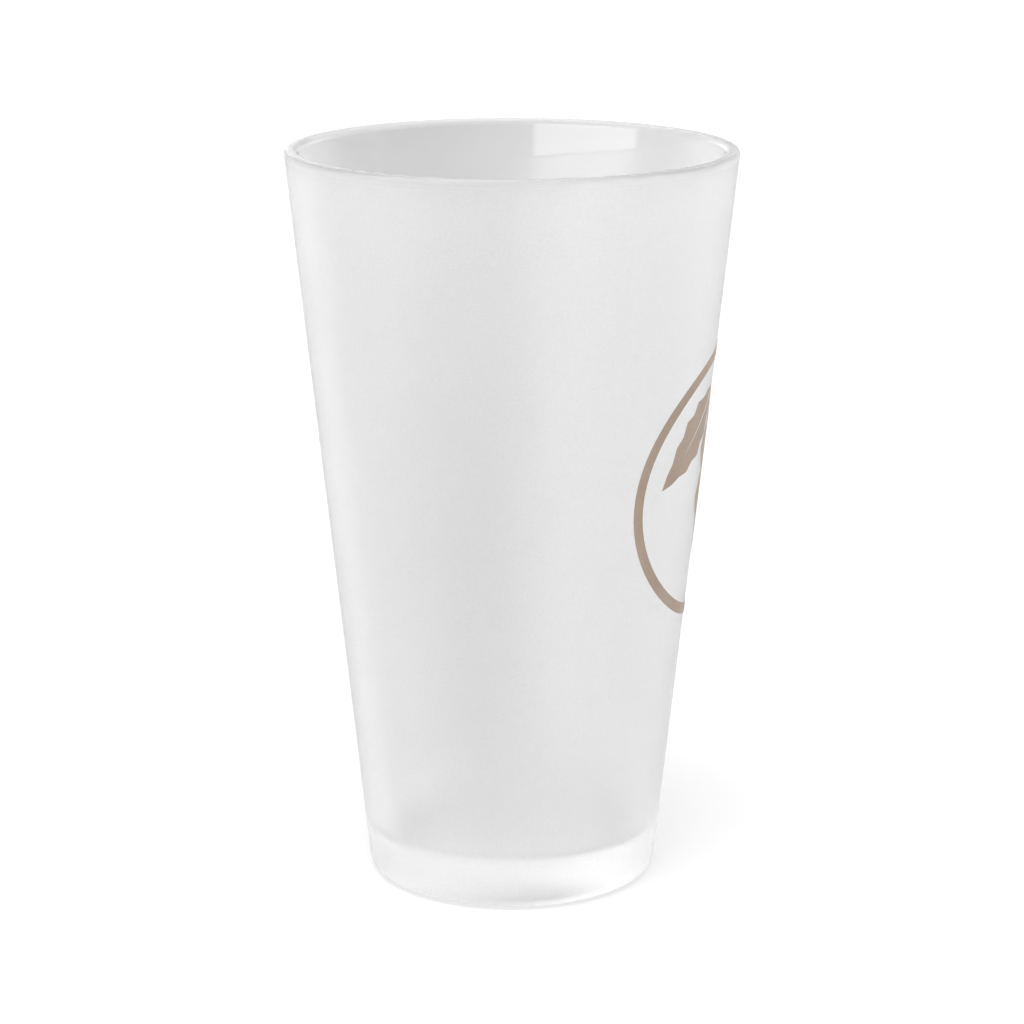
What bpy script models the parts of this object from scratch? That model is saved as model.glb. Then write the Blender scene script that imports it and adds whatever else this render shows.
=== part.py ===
"""Pint glass: a tapered 16 fl oz mixing glass with a frosted coat and a printed hop badge.

The origin is the centre of the base on the surface that the glass stands on, +Z is up,
and the badge faces -Y. All lengths are in metres.
"""

import math

import bmesh
import bpy
from mathutils import Vector

# Overall shape: a straight-sided cone, measured on its outer surface.
HEIGHT = 0.1475
RIM_RADIUS = 0.04445
BASE_RADIUS = 0.0290        # where the straight side would meet the table, before the heel

# Glass body.
WALL_AT_RIM = 0.0028
WALL_AT_FLOOR = 0.0044
FLOOR_THICKNESS = 0.0096
FLOOR_FILLET = 0.0015       # between the floor and the inner side
HEEL_RADIUS = 0.0027        # between the outer side and the base
LIP_OUTER_RADIUS = 0.0009
LIP_INNER_RADIUS = 0.0013
FOOT_WIDTH = 0.0045         # flat ring that the glass stands on
PUNT_DEPTH = 0.0005         # hollow in the middle of the base

# Frosted coat, a thin sleeve let into the outer side of the glass.
COAT_THICKNESS = 0.0002
CLEAR_LIP_HEIGHT = 0.0014   # bare glass left above the coat
COAT_HEEL_ANGLE = math.radians(25)  # how far up the heel's arc the coat begins
CLEARANCE = 0.0003          # between two pieces that lie against each other

# Printed badge, laid out flat: u runs to the right and v runs up the side.
BADGE_HEIGHT = 0.0820       # of the badge's centre above the base
BADGE_HALF_WIDTH = 0.0340
BADGE_HALF_HEIGHT = 0.0280
RING_STROKE = 0.0023
INK_THICKNESS = 0.0002
SCALE_HALF_WIDTH = 0.0027   # one scale of the hop cone
SCALE_GAP = 0.0008
SCALE_ROWS = (2, 3, 2, 3, 2, 1)  # scales in each row of the cone, from the top
CONE_SHARE = 0.6654         # of the height inside the ring that the cone takes up
LEAF_SHARE = 0.21           # of the height inside the ring that a leaf's width takes up
LEAF_ROOT_RISE = 0.0024     # of a leaf's root above the cone's top scale
LEAF_DROOP = math.radians(40)
LEAF_MARGIN = 0.0065        # from the tip of a leaf to the ring
LEAF_TEETH = 4
VEIN_WIDTH = 0.0009
STEM_MARGIN = 0.0027        # from the cut end of the stalk to the ring
STEM_WIDTH = 0.0017

# How finely curves are divided.
TURN_STEPS = 96
ARC_STEPS = 5
RING_STEPS = 72
STRIP_WIDTH = 0.0032        # widest flat strip of a badge piece that is bent round the glass

# Sizes that follow from those above.
TAPER = (RIM_RADIUS - BASE_RADIUS) / HEIGHT
LEAN = math.atan(TAPER)     # of the outer side from the vertical
COAT_SEAT = COAT_THICKNESS + CLEARANCE
COAT_TOP = HEIGHT - CLEAR_LIP_HEIGHT
INNER_HALF_WIDTH = BADGE_HALF_WIDTH - RING_STROKE
INNER_HALF_HEIGHT = BADGE_HALF_HEIGHT - RING_STROKE
CONE_HEIGHT = CONE_SHARE * 2 * INNER_HALF_HEIGHT
ROW_COUNT = len(SCALE_ROWS)
SCALE_HALF_HEIGHT = (CONE_HEIGHT - (ROW_COUNT - 1) * SCALE_GAP / 2) / (ROW_COUNT + 1)
MOUTH_RADIUS = RIM_RADIUS - WALL_AT_RIM
FLOOR_RADIUS = BASE_RADIUS + TAPER * FLOOR_THICKNESS - WALL_AT_FLOOR
INNER_LEAN = math.atan((MOUTH_RADIUS - FLOOR_RADIUS) / (HEIGHT - FLOOR_THICKNESS))


def side_radius(z, inset=0.0):
    """Radius of the straight outer side at a height, or of a cone set that far inside it."""
    return BASE_RADIUS + TAPER * z - inset / math.cos(LEAN)


def arc(centre, radius, start, end, steps=ARC_STEPS):
    """Points of an arc in the (radius, height) plane, angles measured from +radius."""
    angles = [start + (end - start) * i / steps for i in range(steps + 1)]
    return [(centre[0] + radius * math.cos(a), centre[1] + radius * math.sin(a)) for a in angles]


def heel_centre():
    """Centre of the arc that touches both the base plane and the outer side."""
    return (side_radius(HEEL_RADIUS, HEEL_RADIUS), HEEL_RADIUS)


def heel_arc(inset, start, end):
    """Part of the heel's arc, set in from the outer surface, from its bottom towards the side."""
    return arc(heel_centre(), HEEL_RADIUS - inset, start - math.pi / 2, end - math.pi / 2)


def lip_points():
    """The rounded lip, from the outer side over the top to the inner side."""
    outer_z = HEIGHT - LIP_OUTER_RADIUS
    outer = arc(
        (side_radius(outer_z, LIP_OUTER_RADIUS), outer_z), LIP_OUTER_RADIUS, -LEAN, math.pi / 2
    )
    inner_z = HEIGHT - LIP_INNER_RADIUS
    inner_r = MOUTH_RADIUS - LIP_INNER_RADIUS * math.tan(INNER_LEAN)
    inner_r += LIP_INNER_RADIUS / math.cos(INNER_LEAN)
    inner = arc((inner_r, inner_z), LIP_INNER_RADIUS, math.pi / 2, math.pi - INNER_LEAN)
    return outer + inner


def floor_points():
    """Inner side's foot, the fillet and the floor's centre, from the outside in."""
    fillet_z = FLOOR_THICKNESS + FLOOR_FILLET
    fillet_r = FLOOR_RADIUS + FLOOR_FILLET * math.tan(INNER_LEAN)
    fillet_r -= FLOOR_FILLET / math.cos(INNER_LEAN)
    fillet = arc((fillet_r, fillet_z), FLOOR_FILLET, -INNER_LEAN, -math.pi / 2)
    return fillet + [(fillet_r / 2, FLOOR_THICKNESS), (0.0, FLOOR_THICKNESS)]


def glass_profile():
    """Section of the glass body, from the middle of the base round to the middle of the floor."""
    foot_outer = heel_centre()[0]
    foot_inner = foot_outer - FOOT_WIDTH
    shoulder = CLEARANCE / HEEL_RADIUS
    base = [(0.0, PUNT_DEPTH), (foot_inner / 2, PUNT_DEPTH), (foot_inner - PUNT_DEPTH, PUNT_DEPTH)]
    base += [(foot_inner, 0.0)]
    bare_heel = heel_arc(0.0, 0.0, COAT_HEEL_ANGLE - shoulder)
    coated_heel = heel_arc(COAT_SEAT, COAT_HEEL_ANGLE - shoulder, math.pi / 2 - LEAN)
    seat_top = COAT_TOP + CLEARANCE
    side = [(side_radius(seat_top, COAT_SEAT), seat_top), (side_radius(seat_top), seat_top)]
    return base + bare_heel + coated_heel + side + lip_points() + floor_points()


def coat_profile():
    """Section of the frosted coat, up its outer face and down its inner face."""
    outer = heel_arc(0.0, COAT_HEEL_ANGLE, math.pi / 2 - LEAN)
    inner = heel_arc(COAT_THICKNESS, COAT_HEEL_ANGLE, math.pi / 2 - LEAN)
    top = [(side_radius(COAT_TOP, inset), COAT_TOP) for inset in (0.0, COAT_THICKNESS)]
    return outer + top + inner[::-1]


def make_object(name, vertices, faces, material):
    """Turn vertices and faces into a named, smooth-shaded object with outward faces."""
    mesh = bpy.data.meshes.new(name)
    mesh.from_pydata(vertices, [], faces)
    model = bmesh.new()
    model.from_mesh(mesh)
    bmesh.ops.recalc_face_normals(model, faces=model.faces)
    model.to_mesh(mesh)
    model.free()
    mesh.materials.append(material)
    mesh.shade_smooth()
    mesh.set_sharp_from_angle(angle=math.radians(35))
    made = bpy.data.objects.new(name, mesh)
    bpy.context.scene.collection.objects.link(made)
    return made


def turned(name, profile, material, ring=False):
    """Turn a section round the axis: a ring's section closes, any other ends on the axis."""
    vertices = []
    starts = []
    for radius, z in profile:
        starts.append(len(vertices))
        count = TURN_STEPS if radius > 0 else 1
        for i in range(count):
            angle = 2 * math.pi * i / TURN_STEPS
            vertices.append((radius * math.cos(angle), radius * math.sin(angle), z))
    faces = []
    links = len(profile) if ring else len(profile) - 1
    for here in range(links):
        there = (here + 1) % len(profile)
        for i in range(TURN_STEPS):
            j = (i + 1) % TURN_STEPS
            low = [starts[here]] if profile[here][0] == 0 else [starts[here] + i, starts[here] + j]
            high = [starts[there]] if profile[there][0] == 0 else [starts[there] + j, starts[there] + i]
            faces.append(low + high)
    return make_object(name, vertices, faces, material)


def on_side(u, v, lift):
    """A flat badge point bent round the outer side and raised off it."""
    z = BADGE_HEIGHT + v * math.cos(LEAN)
    angle = u / side_radius(BADGE_HEIGHT)
    radius = side_radius(z) + lift / math.cos(LEAN)
    return Vector((radius * math.sin(angle), -radius * math.cos(angle), z))


def ink_patch(name, outlines, material):
    """A thin patch of ink bent round the glass, from its flat outline and any hole in it."""
    flat = bmesh.new()
    for outline in outlines:
        loop = [flat.verts.new((u, v, 0.0)) for u, v in outline]
        for a, b in zip(loop, loop[1:] + loop[:1]):
            flat.edges.new((a, b))
    bmesh.ops.triangle_fill(flat, edges=flat.edges[:], use_beauty=True, normal=(0, 0, 1))
    reach = max(abs(vertex.co.x) for vertex in flat.verts)
    cuts = math.ceil(reach / STRIP_WIDTH)
    for i in range(-cuts, cuts + 1):
        everything = flat.verts[:] + flat.edges[:] + flat.faces[:]
        bmesh.ops.bisect_plane(
            flat, geom=everything, dist=1e-6, plane_co=(i * STRIP_WIDTH, 0, 0), plane_no=(1, 0, 0)
        )
    bmesh.ops.triangulate(flat, faces=flat.faces[:])
    flat.verts.index_update()
    count = len(flat.verts)
    vertices = [on_side(p.co.x, p.co.y, CLEARANCE) for p in flat.verts]
    vertices += [on_side(p.co.x, p.co.y, CLEARANCE + INK_THICKNESS) for p in flat.verts]
    faces = []
    for face in flat.faces:
        corners = [vertex.index for vertex in face.verts]
        faces.append(corners[::-1])
        faces.append([count + corner for corner in corners])
    for edge in flat.edges:
        if edge.is_boundary:
            a, b = (vertex.index for vertex in edge.verts)
            faces.append([a, b, count + b, count + a])
    flat.free()
    return make_object(name, vertices, faces, material)


def oval(half_width, half_height, steps=RING_STEPS):
    """Outline of an oval."""
    turns = [2 * math.pi * i / steps for i in range(steps)]
    return [(half_width * math.cos(t), half_height * math.sin(t)) for t in turns]


def scale_outline(centre_u, centre_v, steps=4):
    """A pointed hop scale, fullest at its middle."""
    levels = [-1 + i / steps for i in range(2 * steps + 1)]
    right = [(SCALE_HALF_WIDTH * (1 - abs(s) ** 1.3), s * SCALE_HALF_HEIGHT) for s in levels]
    left = [(-u, v) for u, v in right[-2:0:-1]]
    return [(centre_u + u, centre_v + v) for u, v in right + left]


def way_to_ring(start, direction):
    """Distance from a point inside the ring to its inner edge."""
    su, sv = start[0] / INNER_HALF_WIDTH, start[1] / INNER_HALF_HEIGHT
    du, dv = direction[0] / INNER_HALF_WIDTH, direction[1] / INNER_HALF_HEIGHT
    a = du * du + dv * dv
    b = su * du + sv * dv
    c = su * su + sv * sv - 1
    return (-b + math.sqrt(b * b - a * c)) / a


def leaf_outline(side, top_scale):
    """A toothed leaf with its midrib left open, from beside the cone's top scale to the ring."""
    root_u = abs(top_scale[0]) + SCALE_HALF_WIDTH
    root_v = top_scale[1] + SCALE_HALF_HEIGHT + LEAF_ROOT_RISE
    root = (side * root_u, root_v)
    direction = (side * math.cos(LEAF_DROOP), -math.sin(LEAF_DROOP))
    across = (-direction[1], direction[0])
    length = way_to_ring(root, direction) - LEAF_MARGIN
    half_width = LEAF_SHARE * INNER_HALF_HEIGHT

    def place(along, off):
        return (
            root[0] + direction[0] * along + across[0] * off,
            root[1] + direction[1] * along + across[1] * off,
        )

    teeth = 2 * LEAF_TEETH
    edge = []
    for i in range(1, teeth + 2):
        share = i / (teeth + 2)
        bulge = math.sin(math.pi * share ** 0.8)
        tooth = 1.0 if i % 2 else 0.80
        edge.append((length * share, half_width * bulge * tooth))
    upper = [place(along, off) for along, off in edge]
    lower = [place(along, -off) for along, off in edge[::-1]]
    tip = place(length, 0.0)
    vein = [place(0.0, -VEIN_WIDTH / 2), place(0.72 * length, 0.0), place(0.0, VEIN_WIDTH / 2)]
    return upper + [tip] + lower + vein


def stem_outline(bottom, steps=5):
    """A short stalk that widens to its cut end near the ring, leaning to one side."""
    length = INNER_HALF_HEIGHT - STEM_MARGIN - bottom
    left = []
    right = []
    for i in range(steps + 1):
        share = i / steps
        middle = 0.25 * length * share ** 2
        half = STEM_WIDTH / 2 * (0.7 + 0.5 * share)
        v = bottom + length * share
        left.append((middle - half, v))
        right.append((middle + half, v))
    return right + left[::-1]


def hop_scale_centres():
    """Centres of the cone's scales, in staggered rows about the badge's centre."""
    step_v = SCALE_HALF_HEIGHT + SCALE_GAP / 2
    step_u = 2 * SCALE_HALF_WIDTH + 2.5 * SCALE_GAP
    top = step_v * (ROW_COUNT - 1) / 2
    centres = []
    for row, count in enumerate(SCALE_ROWS):
        for i in range(count):
            centres.append(((i - (count - 1) / 2) * step_u, top - row * step_v))
    return centres


def make_material(name, colour, roughness, transmission=0.0, alpha=1.0):
    """A Principled material."""
    material = bpy.data.materials.new(name)
    material.use_nodes = True
    shader = material.node_tree.nodes["Principled BSDF"]
    shader.inputs["Base Color"].default_value = (*colour, 1.0)
    shader.inputs["Roughness"].default_value = roughness
    shader.inputs["Metallic"].default_value = 0.0
    shader.inputs["Transmission Weight"].default_value = transmission
    shader.inputs["IOR"].default_value = 1.5
    shader.inputs["Alpha"].default_value = alpha
    return material


def build_glass():
    """The pressed glass body."""
    clear = make_material("clear_glass", (0.95, 0.96, 0.96), 0.03, transmission=1.0)
    turned("glass_body", glass_profile(), clear)


def build_coat():
    """The frosted coat round the outer side."""
    frosted = make_material("frosted_coat", (0.90, 0.91, 0.91), 0.55, alpha=0.6)
    turned("frost_coat", coat_profile(), frosted, ring=True)


def build_badge():
    """The printed badge, one object for each separate patch of ink."""
    ink = make_material("tan_ink", (0.43, 0.34, 0.28), 0.5)
    edges = [oval(BADGE_HALF_WIDTH, BADGE_HALF_HEIGHT), oval(INNER_HALF_WIDTH, INNER_HALF_HEIGHT)]
    ink_patch("ink_ring", edges, ink)
    centres = hop_scale_centres()
    for number, (u, v) in enumerate(centres, start=1):
        ink_patch(f"ink_hop_scale_{number}", [scale_outline(u, v)], ink)
    ink_patch("ink_hop_leaf_left", [leaf_outline(-1, centres[0])], ink)
    ink_patch("ink_hop_leaf_right", [leaf_outline(1, centres[0])], ink)
    stem_bottom = centres[0][1] + SCALE_HALF_HEIGHT - 2 * SCALE_GAP
    ink_patch("ink_hop_stem", [stem_outline(stem_bottom)], ink)


def main():
    for old in list(bpy.data.objects):
        bpy.data.objects.remove(old, do_unlink=True)
    build_glass()
    build_coat()
    build_badge()


main()
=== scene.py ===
import math

import bmesh
import bpy
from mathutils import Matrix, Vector
from mathutils.bvhtree import BVHTree


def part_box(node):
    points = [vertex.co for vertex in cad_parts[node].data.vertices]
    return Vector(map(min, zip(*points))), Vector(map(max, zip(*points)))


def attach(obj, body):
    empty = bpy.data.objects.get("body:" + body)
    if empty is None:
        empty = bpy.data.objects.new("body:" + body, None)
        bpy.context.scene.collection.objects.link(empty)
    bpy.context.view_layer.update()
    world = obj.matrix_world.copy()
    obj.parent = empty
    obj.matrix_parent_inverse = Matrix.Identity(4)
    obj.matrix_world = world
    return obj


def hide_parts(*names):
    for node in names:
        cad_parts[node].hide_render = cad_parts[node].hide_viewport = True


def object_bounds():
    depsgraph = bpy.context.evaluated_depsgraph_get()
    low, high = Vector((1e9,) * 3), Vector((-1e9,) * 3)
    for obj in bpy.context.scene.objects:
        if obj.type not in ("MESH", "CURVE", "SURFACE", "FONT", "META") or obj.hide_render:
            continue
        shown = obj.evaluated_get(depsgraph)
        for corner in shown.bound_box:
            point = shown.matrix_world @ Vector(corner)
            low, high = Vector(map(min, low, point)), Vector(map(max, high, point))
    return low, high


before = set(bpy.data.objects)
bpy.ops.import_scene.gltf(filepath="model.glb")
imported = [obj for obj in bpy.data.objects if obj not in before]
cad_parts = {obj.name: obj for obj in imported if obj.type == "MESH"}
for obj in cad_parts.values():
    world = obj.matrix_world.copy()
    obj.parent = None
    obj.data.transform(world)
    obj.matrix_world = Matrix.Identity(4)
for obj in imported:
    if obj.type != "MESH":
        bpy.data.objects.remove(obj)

cad_low, cad_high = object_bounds()

# Sizes that the CAD's measured profile doesn't give, and the films' real thicknesses, in metres.
LIP_OUTER_RADIUS = 0.0009
LIP_INNER_RADIUS = 0.0013
HEEL_RADIUS = 0.0027
FLOOR_FILLET = 0.0015
FOOT_WIDTH = 0.0045
PUNT_DEPTH = 0.0005
COAT_FILM = 0.00004       # the coat's real thickness
INK_FILM = 0.00003
FROST_END = math.radians(60)  # how far up the lip's outer arc the frost reaches
FILM_GAP = 0.00002        # keeps two films from sharing a surface
FILM_EDGE = 0.0003        # of the coat's film below the CAD coat's top
COAT_HEEL_ANGLE = math.radians(25)  # how far up the heel's arc the coat's film begins

TURN_STEPS = 512
PUNT_STEPS = 16
INK_STRIP = 1             # degrees that one flat strip of an ink film spans
INK_REACH = 60            # degrees that the badge reaches each way round the glass, at most

# The photographic view: the camera stands on the -X side and looks along +X.
CAMERA_DISTANCE = 0.5893
CAMERA_HEIGHT = 0.2290
CAMERA_PITCH = 0.25728    # radians downwards
CAMERA_LENS = 106.63
SENSOR = 36.0


# ---------------------------------------------------------------- measuring the CAD

def cad_tree(node):
    """A ray-casting tree of a CAD node's mesh."""
    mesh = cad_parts[node].data
    return BVHTree.FromPolygons(
        [v.co.copy() for v in mesh.vertices], [tuple(p.vertices) for p in mesh.polygons]
    )


glass_tree = cad_tree("glass_body")
coat_tree = cad_tree("frost_coat")
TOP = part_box("glass_body")[1].z
COAT_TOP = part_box("frost_coat")[1].z
FLOOR = glass_tree.ray_cast(Vector((0.0005, 0, TOP)), Vector((0, 0, -1)))[0].z
SIDEWAYS = Vector((1, 0.0001, 0)).normalized()


def radius_out(tree, z):
    """Outer radius of a turned CAD node at a height."""
    hit = tree.ray_cast(Vector((0, 0, z)) + SIDEWAYS, -SIDEWAYS)[0]
    return math.hypot(hit.x, hit.y)


def radius_in(z):
    """Radius of the glass's cavity at a height."""
    hit = glass_tree.ray_cast(Vector((0, 0, z)), SIDEWAYS)[0]
    return math.hypot(hit.x, hit.y)


def line(z0, r0, z1, r1):
    """Slope and radius at z = 0 of a straight side through two points."""
    slope = (r1 - r0) / (z1 - z0)
    return slope, r0 - slope * z0


LOW, HIGH = 0.03, 0.12
OUT_SLOPE, OUT_BASE = line(LOW, radius_out(coat_tree, LOW), HIGH, radius_out(coat_tree, HIGH))
IN_SLOPE, IN_BASE = line(LOW, radius_in(LOW), HIGH, radius_in(HIGH))
OUT_LEAN, IN_LEAN = math.atan(OUT_SLOPE), math.atan(IN_SLOPE)


def outside(z, lift=0.0):
    """Radius of the glass's outer side at a height, raised by lift off the surface."""
    return OUT_BASE + OUT_SLOPE * z + lift / math.cos(OUT_LEAN)


def inside(z):
    """Radius of the cavity's straight side at a height."""
    return IN_BASE + IN_SLOPE * z


# ---------------------------------------------------------------- meshes

def arc(centre, radius, start, end, steps):
    """Points on an arc, both ends included."""
    turns = [start + (end - start) * i / steps for i in range(steps + 1)]
    return [(centre[0] + radius * math.cos(t), centre[1] + radius * math.sin(t)) for t in turns]


def straight(a, b, steps):
    """Points between a and b, without either end."""
    return [
        (a[0] + (b[0] - a[0]) * i / steps, a[1] + (b[1] - a[1]) * i / steps)
        for i in range(1, steps)
    ]


def heel_centre():
    """Centre of the heel's arc."""
    return (outside(HEEL_RADIUS, -HEEL_RADIUS), HEEL_RADIUS)


def heel(lift, start, end, steps):
    """Part of the heel's arc raised off the glass, angles measured up from its bottom."""
    return arc(heel_centre(), HEEL_RADIUS + lift, start - math.pi / 2, end - math.pi / 2, steps)


def turned(name, sections, ring=False):
    """Turn runs of section points round the axis, each run with the next material slot."""
    points, slots = [], []
    for slot, section in enumerate(sections):
        for point in section:
            points.append(point)
            slots.append(slot)
    model = bmesh.new()
    rows = []
    for r, z in points:
        if r < 1e-9:
            rows.append([model.verts.new((0, 0, z))] * TURN_STEPS)
            continue
        turns = [2 * math.pi * i / TURN_STEPS for i in range(TURN_STEPS)]
        rows.append([model.verts.new((r * math.cos(t), r * math.sin(t), z)) for t in turns])
    links = len(points) if ring else len(points) - 1
    for a in range(links):
        b = (a + 1) % len(points)
        for i in range(TURN_STEPS):
            j = (i + 1) % TURN_STEPS
            corners = []
            for vertex in (rows[a][i], rows[a][j], rows[b][j], rows[b][i]):
                if vertex not in corners:
                    corners.append(vertex)
            face = model.faces.new(corners)
            face.material_index = slots[b] if not ring else 0
            face.smooth = True
    bmesh.ops.recalc_face_normals(model, faces=model.faces)
    mesh = bpy.data.meshes.new(name)
    model.to_mesh(mesh)
    model.free()
    made = bpy.data.objects.new(name, mesh)
    bpy.context.scene.collection.objects.link(made)
    return made


def glass_sections():
    """The glass's section as runs: base, frosted side, lip, then inside."""
    foot = heel_centre()[0]
    inner_foot = foot - FOOT_WIDTH
    shares = [i / PUNT_STEPS for i in range(PUNT_STEPS + 1)]
    dome = [(inner_foot * (1 - s), PUNT_DEPTH * math.sin(math.pi / 2 * s)) for s in shares]
    base = dome[::-1] + straight((inner_foot, 0), (foot, 0), 4) + [(foot, 0)]
    side = heel(0, 0, math.pi / 2 - OUT_LEAN, 16)[1:]
    lip_z = TOP - LIP_OUTER_RADIUS
    lip_r = min(outside(lip_z, -LIP_OUTER_RADIUS), cad_high[0] - LIP_OUTER_RADIUS)
    frosted_lip = arc((lip_r, lip_z), LIP_OUTER_RADIUS, -OUT_LEAN, FROST_END, 6)
    side += straight(side[-1], frosted_lip[0], 24) + frosted_lip
    lip = arc((lip_r, lip_z), LIP_OUTER_RADIUS, FROST_END, math.pi / 2, 6)[1:]
    in_z = TOP - LIP_INNER_RADIUS
    in_r = inside(in_z) + LIP_INNER_RADIUS / math.cos(IN_LEAN)
    lip += arc((in_r, in_z), LIP_INNER_RADIUS, math.pi / 2, math.pi - IN_LEAN, 12)
    fillet_z = FLOOR + FLOOR_FILLET
    fillet_r = inside(fillet_z) - FLOOR_FILLET / math.cos(IN_LEAN)
    fillet = arc((fillet_r, fillet_z), FLOOR_FILLET, -IN_LEAN, -math.pi / 2, 12)
    wall = straight(lip[-1], fillet[0], 24)
    floor = [(fillet_r * (1 - i / 10), FLOOR) for i in range(1, 11)]
    return [base, side, lip, wall + fillet + floor]


def coat_section():
    """The coat's film as a closed section, from the heel to just under the lip."""
    start, end = COAT_HEEL_ANGLE, math.pi / 2 - OUT_LEAN
    near, far = FILM_GAP, FILM_GAP + COAT_FILM
    top = COAT_TOP - FILM_EDGE
    outer = heel(far, start, end, 12)
    outer += straight(outer[-1], (outside(top, far), top), 24) + [(outside(top, far), top)]
    inner = heel(near, start, end, 12)
    inner += straight(inner[-1], (outside(top, near), top), 24) + [(outside(top, near), top)]
    return outer + inner[::-1]


# ---------------------------------------------------------------- materials

class Graph:
    """Short ways to add shader nodes to one node tree."""

    def __init__(self, tree):
        self.tree = tree

    def add(self, kind, **settings):
        """A new shader node with these settings."""
        made = self.tree.nodes.new("ShaderNode" + kind)
        for name, value in settings.items():
            setattr(made, name, value)
        return made

    def set(self, socket, value):
        """Link an output to a socket, or write a plain value on it."""
        if isinstance(value, bpy.types.NodeSocket):
            self.tree.links.new(value, socket)
        else:
            socket.default_value = value

    def math(self, operation, a, b=0.0):
        """Arithmetic on two sockets or numbers."""
        made = self.add("Math", operation=operation)
        self.set(made.inputs[0], a)
        self.set(made.inputs[1], b)
        return made.outputs[0]

    def rise(self, value, low, high, bottom=0.0, top=1.0):
        """Ease from bottom to top while value goes from low to high."""
        made = self.add("MapRange", interpolation_type="SMOOTHSTEP")
        for socket, number in zip(made.inputs, (value, low, high, bottom, top)):
            self.set(socket, number)
        return made.outputs[0]

    def spot(self):
        """Where on the object the shading happens, in metres."""
        return self.add("TexCoord").outputs["Object"]

    def noise(self, size, detail=2.0, vector=None):
        """Soft noise whose lumps are about size metres across, from 0 to 1."""
        made = self.add("TexNoise")
        self.set(made.inputs["Vector"], vector or self.spot())
        made.inputs["Scale"].default_value = 1 / size
        made.inputs["Detail"].default_value = detail
        return made.outputs["Fac"]

    def blend(self, factor, a, b):
        """A colour between a and b."""
        made = self.add("Mix", data_type="RGBA")
        self.set(made.inputs[0], factor)
        self.set(made.inputs[6], a)
        self.set(made.inputs[7], b)
        return made.outputs[2]

    def bump(self, height, depth, strength=1.0):
        """Bump normal from a height of 0 to 1 that stands for depth metres."""
        made = self.add("Bump")
        made.inputs["Distance"].default_value = depth
        made.inputs["Strength"].default_value = strength
        self.set(made.inputs["Height"], height)
        return made.outputs[0]


def new_material(name):
    """A material, its node graph and its Principled shader."""
    material = bpy.data.materials.new(name)
    material.use_nodes = True
    tree = material.node_tree
    return material, Graph(tree), tree.nodes["Principled BSDF"]


def clear_glass():
    """Polished glass with faint pressed-in waves and a few smudges."""
    material, graph, shader = new_material("clear_glass")
    waves = graph.noise(0.014, 1.0)
    smudges = graph.noise(0.006, 3.0)
    shader.inputs["Base Color"].default_value = (1, 1, 1, 1)
    graph.set(shader.inputs["Roughness"], graph.rise(smudges, 0.5, 0.8, 0.0, 0.012))
    shader.inputs["Transmission Weight"].default_value = 1.0
    shader.inputs["IOR"].default_value = 1.5
    graph.set(shader.inputs["Normal"], graph.bump(waves, 0.00004))
    return material


def frosted_glass():
    """Fine matt frost on the glass's outer side, pale where it is seen edge on."""
    material, graph, shader = new_material("frosted_glass")
    clouds = graph.noise(0.012, 3.0)
    grain = graph.noise(0.0004, 2.0)
    shader.inputs["Base Color"].default_value = (1, 1, 1, 1)
    graph.set(shader.inputs["Roughness"], graph.rise(clouds, 0.25, 0.75, 0.49, 0.51))
    shader.inputs["Transmission Weight"].default_value = 1.0
    shader.inputs["IOR"].default_value = 1.5
    shader.inputs["Sheen Weight"].default_value = 0.4
    shader.inputs["Sheen Roughness"].default_value = 0.3
    graph.set(shader.inputs["Normal"], graph.bump(grain, 0.00001))
    return material


def lip_glass():
    """The lip, where the spray of the frost thins out over the fire-polished glass."""
    material, graph, shader = new_material("lip_glass")
    clouds = graph.noise(0.005, 3.0)
    shader.inputs["Base Color"].default_value = (1, 1, 1, 1)
    graph.set(shader.inputs["Roughness"], graph.rise(clouds, 0.3, 0.7, 0.40, 0.46))
    shader.inputs["Transmission Weight"].default_value = 1.0
    shader.inputs["IOR"].default_value = 1.5
    shader.inputs["Coat Weight"].default_value = 1.0
    shader.inputs["Coat Roughness"].default_value = 0.05
    return material


def coat_film():
    """The coat's milky film, almost clear, in fine grain and soft clouds."""
    material, graph, shader = new_material("frosted_coat")
    grain = graph.noise(0.0003, 2.0)
    clouds = graph.noise(0.018, 3.0)
    fine_milk = graph.rise(grain, 0.3, 0.7, 0.0, 0.02)
    milk = graph.math("ADD", fine_milk, graph.rise(clouds, 0.3, 0.7, 0.008, 0.014))
    shader.inputs["Base Color"].default_value = (0.9, 0.9, 0.9, 1)
    shader.inputs["Roughness"].default_value = 0.6
    graph.set(shader.inputs["Alpha"], milk)
    return material


def past_scattered_light(graph):
    """Solid ink, except to light that has bounced about inside the glass, which it lets by."""
    bounces = graph.add("LightPath").outputs["Ray Depth"]
    return graph.math("LESS_THAN", bounces, 2.5)


def tan_ink():
    """Flat tan ink with a fine print grain."""
    material, graph, shader = new_material("tan_ink")
    grain = graph.noise(0.0005, 3.0)
    patches = graph.noise(0.007, 3.0)
    tone = graph.blend(graph.rise(patches, 0.3, 0.7), (0.34, 0.255, 0.193, 1), (0.38, 0.292, 0.228, 1))
    tone = graph.blend(graph.rise(grain, 0.5, 0.8, 0.0, 0.4), tone, (0.31, 0.230, 0.172, 1))
    graph.set(shader.inputs["Base Color"], tone)
    graph.set(shader.inputs["Roughness"], graph.rise(grain, 0.3, 0.7, 0.52, 0.68))
    graph.set(shader.inputs["Normal"], graph.bump(grain, 0.00002))
    graph.set(shader.inputs["Alpha"], past_scattered_light(graph))
    return material


def ink_base():
    """The pale first layer under the ink, seen from inside the glass."""
    material, graph, shader = new_material("ink_base")
    grain = graph.noise(0.0005, 3.0)
    shader.inputs["Roughness"].default_value = 0.7
    tone = graph.blend(graph.rise(grain, 0.3, 0.7), (0.74, 0.71, 0.68, 1), (0.80, 0.77, 0.74, 1))
    graph.set(shader.inputs["Base Color"], tone)
    graph.set(shader.inputs["Alpha"], past_scattered_light(graph))
    return material


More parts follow.
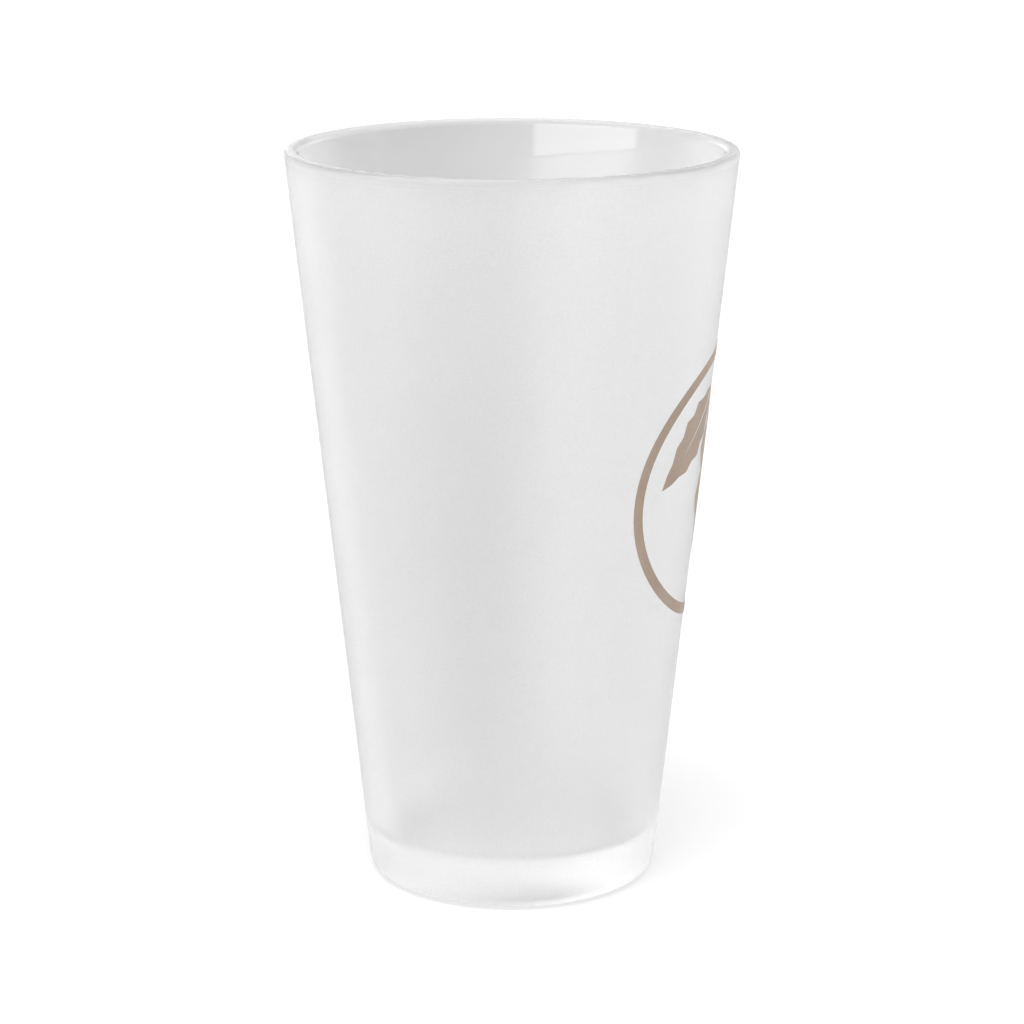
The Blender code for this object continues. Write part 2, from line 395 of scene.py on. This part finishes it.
# ---------------------------------------------------------------- the pieces

glass = turned("pint_glass_body", glass_sections())
clear = clear_glass()
for material in (clear, frosted_glass(), lip_glass(), clear):
    glass.data.materials.append(material)
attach(glass, "root")
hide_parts("glass_body")

coat = turned("frosted_film", [coat_section()], ring=True)
coat.data.materials.append(coat_film())
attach(coat, "root")
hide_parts("frost_coat")


def inked(node, ink, base):
    """A CAD ink patch brought down onto the coat as a thin film."""
    model = bmesh.new()
    model.from_mesh(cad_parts[node].data)
    bmesh.ops.remove_doubles(model, verts=model.verts, dist=1e-7)
    for step in range(-INK_REACH, INK_REACH + 1, INK_STRIP):
        turn = math.radians(step)
        normal = (math.cos(turn), math.sin(turn), 0)
        bmesh.ops.bisect_plane(
            model,
            geom=model.verts[:] + model.edges[:] + model.faces[:],
            dist=1e-5,
            plane_co=(0, 0, 0),
            plane_no=normal,
        )
    bmesh.ops.dissolve_degenerate(model, dist=1e-5, edges=model.edges)
    lifts = [math.hypot(v.co.x, v.co.y) - outside(v.co.z) for v in model.verts]
    middle = (min(lifts) + max(lifts)) / 2
    surface = FILM_GAP * 2 + COAT_FILM
    for vertex, lift in zip(model.verts, lifts):
        r = outside(vertex.co.z, surface + (INK_FILM if lift > middle else 0.0))
        turn = math.atan2(vertex.co.y, vertex.co.x)
        vertex.co.x, vertex.co.y = r * math.cos(turn), r * math.sin(turn)
    inner = {vertex for vertex, lift in zip(model.verts, lifts) if lift <= middle}
    for face in model.faces:
        face.material_index = 1 if inner.issuperset(face.verts) else 0
    mesh = bpy.data.meshes.new(node + "_film")
    model.to_mesh(mesh)
    model.free()
    made = bpy.data.objects.new(node + "_film", mesh)
    bpy.context.scene.collection.objects.link(made)
    mesh.materials.append(ink)
    mesh.materials.append(base)
    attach(made, "root")
    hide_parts(node)
    return made


ink, base = tan_ink(), ink_base()
for node in sorted(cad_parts):
    if node.startswith("ink_"):
        inked(node, ink, base)


# ---------------------------------------------------------------- studio

# Light arriving from round the glass, with white paper as 1. Turns are degrees to the
# right of the way the camera looks, and heights are degrees above the horizon.
ROOM = 0.77
CEILING = (0.58, 18.5, 26.0)      # strength, and the heights it fades in between
TABLE = (-0.04, 0.0, 11.0)        # the same, downwards
# name: strength, middle turn, half width, soft edge, lowest, highest, soft edge
PANELS = {
    "dark_gap_behind": (-1.17, 344.5, 11.5, 7.5, -29.5, -3.0, 3.0),
    "strip_behind_right": (0.66, 44.5, 17.5, 20.0, -39.0, 11.0, 6.5),
    "strip_behind_left": (0.94, 327.0, 24.5, 12.5, -40.0, 17.0, 12.0),
    "softbox_front_left": (3.5, 223.0, 30.5, 2.0, -13.5, 25.0, 7.5),
    "panel_right": (0.83, 71.0, 35.0, 5.0, -6.5, 15.5, 3.0),
}
PAPER_WHITE = 1.05                # what the camera sees past the table's edge
PAPER, PAPER_GLOW = 0.10, 0.72    # the table's tone, and the light it gives by itself
TABLE_RADIUS = 1.2
# The sun-like lamp whose light only reaches the table, in the same degrees.
SHADOW_LAMP_TURN = 196
SHADOW_LAMP_HEIGHT = 75
SHADOW_LAMP_WIDTH = 26
SHADOW_LAMP_STRENGTH = 6.3


def surroundings():
    """A world whose light comes from a few soft panels round the glass."""
    world = bpy.data.worlds.new("studio")
    bpy.context.scene.world = world
    world.use_nodes = True
    graph = Graph(world.node_tree)
    heading = graph.add("TexCoord").outputs["Generated"]
    apart = graph.add("SeparateXYZ")
    graph.set(apart.inputs[0], heading)
    degree = math.radians(1)
    height = graph.math("DIVIDE", graph.math("ARCSINE", apart.outputs["Z"]), degree)
    depth = graph.math("MULTIPLY", height, -1.0)
    sideways = graph.math("MULTIPLY", apart.outputs["Y"], -1.0)
    turn = graph.math("DIVIDE", graph.math("ARCTAN2", sideways, apart.outputs["X"]), degree)

    light = graph.math("ADD", ROOM, graph.rise(height, CEILING[1], CEILING[2], 0.0, CEILING[0]))
    light = graph.math("ADD", light, graph.rise(depth, TABLE[1], TABLE[2], 0.0, TABLE[0]))
    for strength, middle, half, soft, low, high, edge in PANELS.values():
        away = graph.math("SUBTRACT", turn, middle)
        away = graph.math("PINGPONG", away, 180.0)
        across = graph.rise(away, half - soft, half + soft, 1.0, 0.0)
        above = graph.rise(height, low - edge, low + edge)
        below = graph.rise(height, high - edge, high + edge, 1.0, 0.0)
        panel = graph.math("MULTIPLY", across, graph.math("MULTIPLY", above, below))
        light = graph.math("ADD", light, graph.math("MULTIPLY", panel, strength))
    light = graph.math("MAXIMUM", light, 0.0)

    shown = graph.add("Mix", data_type="FLOAT")
    graph.set(shown.inputs[0], graph.add("LightPath").outputs["Is Camera Ray"])
    graph.set(shown.inputs[2], light)
    graph.set(shown.inputs[3], PAPER_WHITE)
    graph.set(world.node_tree.nodes["Background"].inputs["Strength"], shown.outputs[0])
    world.node_tree.nodes["Background"].inputs["Color"].default_value = (1, 1, 1, 1)


def table():
    """A plain pale floor that the glass stands on."""
    model = bmesh.new()
    bmesh.ops.create_circle(model, cap_ends=True, segments=128, radius=TABLE_RADIUS)
    mesh = bpy.data.meshes.new("floor")
    model.to_mesh(mesh)
    model.free()
    floor = bpy.data.objects.new("floor", mesh)
    bpy.context.scene.collection.objects.link(floor)
    material, graph, shader = new_material("floor")
    shader.inputs["Base Color"].default_value = (PAPER, PAPER, PAPER, 1)
    shader.inputs["Roughness"].default_value = 0.9
    # Paper lit from below keeps the shadow as faint as one thrown through glass.
    shader.inputs["Emission Color"].default_value = (1, 1, 1, 1)
    shader.inputs["Emission Strength"].default_value = PAPER_GLOW
    mesh.materials.append(material)
    # The surroundings already hold the light that a table sends up into the glass.
    floor.visible_diffuse = False
    floor.visible_glossy = False
    floor.visible_transmission = False
    floor.visible_shadow = False
    return floor


def shadow_lamp(floor):
    """A high soft lamp that draws the glass's faint shadow on the table and lights nothing else."""
    data = bpy.data.lights.new("shadow_lamp", "SUN")
    data.angle = math.radians(SHADOW_LAMP_WIDTH)
    data.energy = SHADOW_LAMP_STRENGTH
    lamp = bpy.data.objects.new("shadow_lamp", data)
    turn, height = math.radians(SHADOW_LAMP_TURN), math.radians(SHADOW_LAMP_HEIGHT)
    flat = Vector((math.cos(turn), -math.sin(turn), 0)) * math.cos(height)
    towards = flat + Vector((0, 0, math.sin(height)))
    lamp.location = towards
    lamp.rotation_mode = "QUATERNION"
    lamp.rotation_quaternion = (-towards).to_track_quat("-Z", "Y")
    bpy.context.scene.collection.objects.link(lamp)
    lit = bpy.data.collections.new("lit_by_shadow_lamp")
    lit.objects.link(floor)
    lamp.light_linking.receiver_collection = lit


def camera():
    """The photographic view."""
    data = bpy.data.cameras.new("camera")
    data.lens = CAMERA_LENS
    data.sensor_width = SENSOR
    data.clip_start, data.clip_end = 0.01, 50
    made = bpy.data.objects.new("camera", data)
    made.location = (-CAMERA_DISTANCE, 0, CAMERA_HEIGHT)
    made.rotation_euler = (math.pi / 2 - CAMERA_PITCH, 0, -math.pi / 2)
    bpy.context.scene.collection.objects.link(made)
    bpy.context.scene.camera = made


bpy.context.scene.view_settings.view_transform = "Standard"
surroundings()
shadow_lamp(table())
camera()
